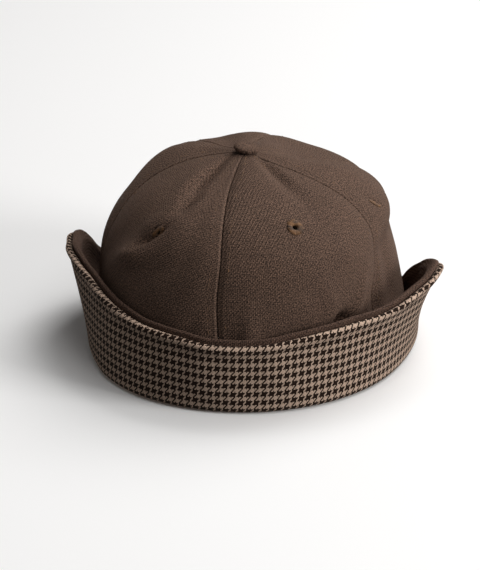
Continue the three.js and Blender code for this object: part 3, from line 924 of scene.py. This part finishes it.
def topstitch(seam):
    """Two rows of stitches, one on each of the panels that meet at a seam."""
    stitches = []
    for panel in PANELS:
        if panel.first_seam == seam:
            stitches += stitch_row(panel, seam, 1)
        if panel.last_seam == seam:
            stitches += stitch_row(panel, seam, -1)
    return sew("topstitch_" + seam, stitches)


topstitches = {seam: topstitch(seam) for seam in SEAMS}
print("stitches", sum(len(p.data.polygons) for p in topstitches.values()) // len(stitch_faces))

# %% [markdown]
# ## Embroidered eyelets
# An eyelet lets air through the crown. Thread is wound over the cut edge again and again, so it
# is a ring of radial stitches that crowd together at the hole and spread at the outside. Each
# stitch is a short six-sided tube that comes up through the hole, bends over its edge and dives
# into the cloth. It follows the cloth, creases included, and two of the eyelets lie in a crease
# that has half closed them, so their rings are squeezed across it.

# %% How an eyelet is worked
EYELET_STITCHES = 46
EYELET_UNEVEN = 0.22     # how far a stitch may sit aside, as a share of their spacing
THREAD_SIDES = 6
EYELET_PATH = [  # distance from the middle, height above the cloth, half thickness of the thread
    (1.60, -1.5, 0.22),
    (1.50, -0.4, 0.24),
    (1.80, 0.28, 0.28),
    (2.50, 0.52, 0.32),
    (3.35, 0.50, 0.34),
    (4.05, 0.28, 0.34),
    (4.55, -0.12, 0.30),
]
PINCHED = {  # direction of the crease in degrees, and the share of the ring's width that is left
    "front_left": (53, 0.26),
    "side_right": (-61, 0.45),
}


def beside_eyelet(panel, across_mm, up_mm, above):
    """A point near a panel's eyelet, given millimetres across and up the cloth."""
    along = panel.eyelet_along + up_mm / MERIDIAN_LENGTH
    angle = panel.eyelet_angle + math.degrees(across_mm / float(mean_radius(np.array(along))))
    return panel_at(panel, np.array(angle), np.array(along), above)


def thread_path(panel, turn):
    """One stitch's line, from inside the hole to where it ends in the cloth."""
    crease, narrow = PINCHED.get(panel.name, (0, 1.0))
    crease = math.radians(crease)
    longer = chance.uniform(-0.35, 0.3)
    lifted = chance.uniform(-0.1, 0.1)
    path = []
    for reach, height, _ in EYELET_PATH:
        reach = reach + longer * smoothstep(2.5, 4.5, reach)
        with_crease = reach * math.cos(turn)
        aside = reach * math.sin(turn) * narrow
        path.append(beside_eyelet(
            panel, with_crease * math.cos(crease) - aside * math.sin(crease),
            with_crease * math.sin(crease) + aside * math.cos(crease), height + lifted))
    return np.array(path)


# %% Making the eyelets
def make_eyelet(panel):
    middle = beside_eyelet(panel, 0, 0, 0)
    out = beside_eyelet(panel, 0, 0, 1) - middle
    points, faces = [], []
    for count in range(EYELET_STITCHES):
        aside = chance.uniform(-EYELET_UNEVEN, EYELET_UNEVEN)
        turn = 2 * math.pi * (count + aside) / EYELET_STITCHES
        path = thread_path(panel, turn)
        ahead = np.gradient(path, axis=0)
        ahead /= np.linalg.norm(ahead, axis=1, keepdims=True)
        side = np.cross(ahead, out)
        side /= np.linalg.norm(side, axis=1, keepdims=True)
        up = np.cross(side, ahead)

        # A ring of corners at each point of the path, walls between the rings, and two ends.
        first = count * len(path) * THREAD_SIDES
        corners = []
        for place, s, u, (_, _, radius) in zip(path, side, up, EYELET_PATH):
            for spin in 2 * math.pi * np.arange(THREAD_SIDES) / THREAD_SIDES:
                corners.append(place + radius * (math.cos(spin) * s + math.sin(spin) * u))
        points.append(corners)
        rings = [[first + step * THREAD_SIDES + corner for corner in range(THREAD_SIDES)]
                 for step in range(len(path))]
        for ring, following in zip(rings, rings[1:]):
            for a, b in zip(range(THREAD_SIDES), [*range(1, THREAD_SIDES), 0]):
                faces.append([ring[a], ring[b], following[b], following[a]])
        faces += [rings[0][::-1], rings[-1]]
    return mesh_piece("eyelet_ring_" + panel.name, points, faces)


eyelets = {panel.name: make_eyelet(panel) for panel in PANELS}
print("eyelets", {name: len(piece.data.polygons) for name, piece in eyelets.items()})

# %% [markdown]
# ## The covered button
# A covered button is a shallow metal shell with a disc of the crown's cloth gathered over it. It
# starts as a sphere primitive. Its upper half is moved into a low dome with a rounded shoulder,
# its lower half into a flat back, and the cloth of its edge lies in small gathers, which are
# pushed in by code because no tool pleats a rim evenly. It sits a little tilted, pulled askew by
# the seams under it.

# %% Button
BUTTON_RADIUS = 7.0
BUTTON_HEIGHT = 3.6
BUTTON_UPPER = 0.62      # share of its height above its widest place, and below it
BUTTON_LOWER = 0.38
SHOULDER_POWER = 0.62    # under 1 pushes the shoulder out, so the top is flatter than a ball's
DOME_POWER = 0.7
GATHERS = 14
GATHER_DEPTH = 0.028     # share of the radius
GATHER_PLACE = -0.25     # height of the gathers on the ball, and how far they reach
GATHER_REACH = 0.35
BUTTON_TILT = 7.0        # degrees
BUTTON_CLEAR = 0.3       # air under it
COVER_STRETCH = 1.15     # the cloth's length over the dome, for the weave

deselect()
bpy.ops.mesh.primitive_uv_sphere_add(segments=84, ring_count=40, radius=BUTTON_RADIUS * MM)
button = bpy.context.object
button.name = "covered_button"
ball = corners_of(button) / (BUTTON_RADIUS * MM)
radial = np.hypot(ball[:, 0], ball[:, 1])
around = np.arctan2(ball[:, 1], ball[:, 0])
flank = np.exp(-((ball[:, 2] - GATHER_PLACE) / GATHER_REACH)**2)
gather = 1 - GATHER_DEPTH * flank * (1 + np.cos(GATHERS * around + np.sin(3 * around)))
reach = radial**SHOULDER_POWER * gather * BUTTON_RADIUS
dome = np.abs(ball[:, 2])**DOME_POWER * np.where(ball[:, 2] > 0, BUTTON_UPPER, -BUTTON_LOWER)
shape = np.stack([np.cos(around) * reach, np.sin(around) * reach, dome * BUTTON_HEIGHT], 1)

tilt = math.radians(BUTTON_TILT)
shape = shape @ np.array([[math.cos(tilt), 0, -math.sin(tilt)], [0, 1, 0],
                          [math.sin(tilt), 0, math.cos(tilt)]])
_, crown_top, _, _, crown_shift = CROWN_SECTIONS[-1]
shape += [crown_shift, 0, crown_top + BUTTON_LOWER * BUTTON_HEIGHT + BUTTON_CLEAR]
move_corners(button, shape * MM)
point_outwards(button)
write_uv(button, (ball[:, :2] * BUTTON_RADIUS * COVER_STRETCH)[loop_corners(button)])
print("button", len(button.data.polygons), "faces")

# %% [markdown]
# ## Brown wool
# The crown and the facing are a plain-woven wool in dark brown. Close up it is a grid of round
# yarns, each passing over and under the next, with lighter and darker fibres spun together. The
# UV map is in millimetres, so dividing it by the yarn's spacing counts yarns: the whole part of
# the count says which yarn is on top, and the fraction says how far across that yarn a point
# lies, which gives its round height. The yarns are drawn 1 mm apart, a little coarser than the
# real ones, because finer ones would vanish at this viewing distance.


# %% Counting yarns
def yarn_grid(tree, across_mm, up_mm, repeat, over):
    """The cloth's own millimetres, the counts of both yarns at a point, whether the lengthwise
    yarn is on top, and the height of the top one. Lengthwise yarns pass over so many of each
    repeat of crosswise ones."""
    # No yarn lies quite straight, so each point is first shifted by up to a quarter of a
    # millimetre. Counting then gives the whole yarns and the fraction across the last one.
    cloth = add_node(tree, "ShaderNodeUVMap", uv_map="cloth_mm")
    waver = add_node(tree, "ShaderNodeTexNoise", {"Vector": cloth, "Scale": 0.35, "Detail": 2.0})
    centred = add_node(tree, "ShaderNodeVectorMath", {0: waver.outputs["Color"],
                                                      1: (0.5, 0.5, 0.5)}, operation="SUBTRACT")
    shifted = add_node(tree, "ShaderNodeVectorMath", {0: centred, 1: (0.5, 0.5, 0.0), 2: cloth},
                       operation="MULTIPLY_ADD")
    counted = add_node(tree, "ShaderNodeVectorMath",
                       {0: shifted, 1: (1 / across_mm, 1 / up_mm, 1.0)}, operation="MULTIPLY")
    whole, part = (add_node(tree, "ShaderNodeVectorMath", {0: counted}, operation=operation)
                   for operation in ("FLOOR", "FRACTION"))
    yarns = add_node(tree, "ShaderNodeSeparateXYZ", {0: whole})
    parts = add_node(tree, "ShaderNodeSeparateXYZ", {0: part})

    # The two counts together say which yarn is on top, and a half turn of sine rounds each yarn.
    step = add_node(tree, "ShaderNodeMath", {0: yarns.outputs["X"], 1: yarns.outputs["Y"]},
                    operation="SUBTRACT")
    cycle = add_node(tree, "ShaderNodeMath", {0: step, 1: float(repeat)},
                     operation="FLOORED_MODULO")
    warp_up = add_node(tree, "ShaderNodeMath", {0: cycle, 1: over - 0.5}, operation="LESS_THAN")
    rounds = []
    for axis in ("X", "Y"):
        half_turn = add_node(tree, "ShaderNodeMath", {0: parts.outputs[axis], 1: math.pi},
                             operation="MULTIPLY")
        rounds.append(add_node(tree, "ShaderNodeMath", {0: half_turn}, operation="SINE"))
    height = add_node(tree, "ShaderNodeMix", {"Factor": warp_up, "A": rounds[1], "B": rounds[0]})
    return cloth, yarns, warp_up, height


# %% Fibres and slubs
def spun_fibres(tree, cloth):
    """Lighter and darker fibres spun together, in flecks about a yarn wide."""
    return add_node(tree, "ShaderNodeTexNoise", {"Vector": cloth, "Scale": 1.25, "Detail": 2.0,
                                                 "Roughness": 0.7})


def slubs(tree, cloth, warp_up):
    """Thick and thin stretches, drawn out along whichever yarn is on top."""
    stretches = []
    for squeeze in ((0.16, 1.0, 1.0), (1.0, 0.16, 1.0)):
        along_yarn = add_node(tree, "ShaderNodeVectorMath", {0: cloth, 1: squeeze},
                              operation="MULTIPLY")
        stretches.append(add_node(tree, "ShaderNodeTexNoise", {"Vector": along_yarn, "Scale": 0.9,
                                                               "Detail": 1.0}))
    return add_node(tree, "ShaderNodeMix", {"Factor": warp_up, "A": stretches[0],
                                            "B": stretches[1]})


# %% Wool for the crown and the facing
WOOL_YARN = 1.0          # millimetres from one yarn to the next


def brown_wool(name, deep, pale, worn):
    """Plain-woven wool: a soft matte cloth with flecks, and a little sheen from its nap."""
    material, tree = new_material(name)
    cloth, _, warp_up, height = yarn_grid(tree, WOOL_YARN, WOOL_YARN, 2, 1)
    fibre = spun_fibres(tree, cloth)

    # The shade of a point: fibres and slubs vary it, the lengthwise yarns are drawn a little paler
    # than the crosswise ones, and the round top of a yarn is painted lighter and the groove beside
    # it darker, as painted highlight and painted shade.
    flecks = add_node(tree, "ShaderNodeMapRange", {"Value": fibre, "From Min": 0.44,
                                                   "From Max": 0.57})
    thick = add_node(tree, "ShaderNodeMapRange", {"Value": slubs(tree, cloth, warp_up),
                                                  "From Min": 0.38, "From Max": 0.62})
    shade = add_node(tree, "ShaderNodeMath", {0: flecks, 1: 0.68}, operation="MULTIPLY")
    for source, amount in ((thick, 0.16), (warp_up, 0.06), (height, 0.12)):
        shade = add_node(tree, "ShaderNodeMath", {0: source, 1: amount, 2: shade},
                         operation="MULTIPLY_ADD")
    colour = add_node(tree, "ShaderNodeMix", {"Factor": shade, "A": linear(deep),
                                              "B": linear(pale)}, data_type="RGBA")

    # Sewn edges are rubbed paler, and whole areas drift a little lighter and darker.
    wear = add_node(tree, "ShaderNodeAttribute", attribute_name="wear").outputs["Fac"]
    rubbed = add_node(tree, "ShaderNodeMath", {0: wear, 1: 0.16}, operation="MULTIPLY")
    colour = add_node(tree, "ShaderNodeMix", {"Factor": rubbed, "A": colour, "B": linear(worn)},
                      data_type="RGBA")
    area = add_node(tree, "ShaderNodeTexNoise", {"Vector": cloth, "Scale": 0.04, "Detail": 2.0})
    level = add_node(tree, "ShaderNodeMapRange", {"Value": area, "From Min": 0.3, "From Max": 0.7,
                                                  "To Min": 0.93, "To Max": 1.07})
    colour = add_node(tree, "ShaderNodeHueSaturation", {"Color": colour, "Value": level})
    nap = add_node(tree, "ShaderNodeMath", {0: fibre, 1: 0.9, 2: height}, operation="MULTIPLY_ADD")
    bump = add_node(tree, "ShaderNodeBump", {"Height": nap, "Strength": 0.8, "Distance": 0.0004})
    finish_surface(tree, {"Base Color": colour, "Roughness": 0.92, "Specular IOR Level": 0.2,
                          "Sheen Weight": 0.3, "Sheen Roughness": 0.5,
                          "Sheen Tint": linear("a88a78"), "Normal": bump})
    return material


crown_wool = brown_wool("brown_woven_wool", "0d0806", "765c4d", "7a6456")
facing_wool = brown_wool("brown_facing_wool", "0d0806", "6b5245", "7a6456")

# %% [markdown]
# ## Houndstooth
# Houndstooth is not printed: it comes out of the weave by itself. Dark and light yarns take turns
# in both directions, and the cloth is a twill, in which each yarn passes over two and under two,
# one step further along in each row. Where both yarns are dark the cloth is a dark square, where
# both are light a light one, and in between the twill draws slanting teeth. So the material
# weaves it: it counts yarns, asks which one is on top, and gives the point that yarn's colour.
# Eight yarns make one check, 4 mm wide and 5 mm high. Four of the crosswise ones are dark, and
# five of the lengthwise ones, which makes the dark checks bolder than the light ones.

# %% Houndstooth wool
CHECK_COUNT = 157        # whole checks round the rim, so the pattern meets itself at the back
CHECK_HEIGHT = 4.95
YARNS_IN_CHECK = 8
DARK_YARNS = {"X": 5, "Y": 4}     # X counts the lengthwise yarns, Y the crosswise ones
TWILL_REPEAT, TWILL_OVER = 4, 2

houndstooth, tree = new_material("houndstooth_wool")
yarn_across = rim_length / CHECK_COUNT / YARNS_IN_CHECK
yarn_up = CHECK_HEIGHT / YARNS_IN_CHECK
cloth, yarns, warp_up, height = yarn_grid(tree, yarn_across, yarn_up, TWILL_REPEAT, TWILL_OVER)
fibre = spun_fibres(tree, cloth)
is_dark = []
for axis, dark_count in DARK_YARNS.items():
    in_check = add_node(tree, "ShaderNodeMath", {0: yarns.outputs[axis], 1: float(YARNS_IN_CHECK)},
                        operation="FLOORED_MODULO")
    is_dark.append(add_node(tree, "ShaderNodeMath", {0: in_check, 1: dark_count - 0.5},
                            operation="LESS_THAN"))
dark = add_node(tree, "ShaderNodeMix", {"Factor": warp_up, "A": is_dark[1], "B": is_dark[0]})
taupe, brown = (add_node(tree, "ShaderNodeMix", {"Factor": fibre, "A": linear(deep),
                                                 "B": linear(pale)}, data_type="RGBA")
                for deep, pale in (("a38977", "e4c8b2"), ("110a06", "2c1b12")))
colour = add_node(tree, "ShaderNodeMix", {"Factor": dark, "A": taupe, "B": brown},
                  data_type="RGBA")
# Painted shade and painted highlight: the grooves between the yarns are darkened and their round
# tops kept light.
level = add_node(tree, "ShaderNodeMath", {0: height, 1: 0.35, 2: 0.75}, operation="MULTIPLY_ADD")
colour = add_node(tree, "ShaderNodeHueSaturation", {"Color": colour, "Value": level})
nap = add_node(tree, "ShaderNodeMath", {0: fibre, 1: 1.2, 2: height}, operation="MULTIPLY_ADD")
bump = add_node(tree, "ShaderNodeBump", {"Height": nap, "Strength": 0.5, "Distance": 0.0003})
finish_surface(tree, {"Base Color": colour, "Roughness": 0.95, "Specular IOR Level": 0.12,
                      "Sheen Weight": 0.08, "Sheen Roughness": 0.5,
                      "Sheen Tint": linear("cbb9a8"), "Normal": bump})
print("yarns", round(yarn_across, 3), "mm across,", round(yarn_up, 3), "mm up")

# %% [markdown]
# ## Cotton thread
# Embroidery thread is spun cotton with a soft shine. Its colour wanders a little from stitch to
# stitch, and a fine grain stands for the twist of its plies. The topstitching is a slightly
# darker thread, half lost in the wool.


# %% Thread materials
def spun_thread(name, deep, pale, shine):
    """Spun cotton: duller than silk, with a soft shine and the fine grain of its twist."""
    material, tree = new_material(name)
    place = add_node(tree, "ShaderNodeTexCoord").outputs["Object"]
    patch = add_node(tree, "ShaderNodeTexNoise", {"Vector": place, "Scale": 260.0, "Detail": 2.0})
    twist = add_node(tree, "ShaderNodeTexNoise", {"Vector": place, "Scale": 2600.0, "Detail": 1.0})
    blend = add_node(tree, "ShaderNodeMapRange", {"Value": patch, "From Min": 0.35,
                                                  "From Max": 0.65})
    colour = add_node(tree, "ShaderNodeMix", {"Factor": blend, "A": linear(deep),
                                              "B": linear(pale)}, data_type="RGBA")
    level = add_node(tree, "ShaderNodeMapRange", {"Value": twist, "From Min": 0.3, "From Max": 0.7,
                                                  "To Min": 0.8, "To Max": 1.2})
    colour = add_node(tree, "ShaderNodeHueSaturation", {"Color": colour, "Value": level})
    bump = add_node(tree, "ShaderNodeBump", {"Height": twist, "Strength": 0.4, "Distance": 0.0001})
    finish_surface(tree, {"Base Color": colour, "Roughness": 1 - shine, "Sheen Weight": 0.1,
                          "Normal": bump})
    return material


tan_thread = spun_thread("tan_cotton_thread", "3a2616", "7d5733", 0.25)
seam_thread = spun_thread("brown_cotton_thread", "3c2919", "75522f", 0.3)

# %% [markdown]
# ## Materials and places
# Each piece gets its material and rides on the cap's one body, and the plain solid that a piece
# replaces is hidden.

# %% Panels, button, threads
for name, piece in panels.items():
    piece.data.materials.append(crown_wool)
    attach(piece, "root")
    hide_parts("crown_panel_" + name)

for name, piece in eyelets.items():
    piece.data.materials.append(tan_thread)
    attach(piece, "root")
    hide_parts("eyelet_" + name)

for piece in topstitches.values():
    piece.data.materials.append(seam_thread)
    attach(piece, "root")

button.data.materials.append(crown_wool)
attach(button, "root")
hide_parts("top_button")

# %% Cuff
band.data.materials.append(houndstooth)
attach(band, "root")
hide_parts("cuff_band")

facing.data.materials.append(facing_wool)
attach(facing, "root")
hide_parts("cuff_facing")
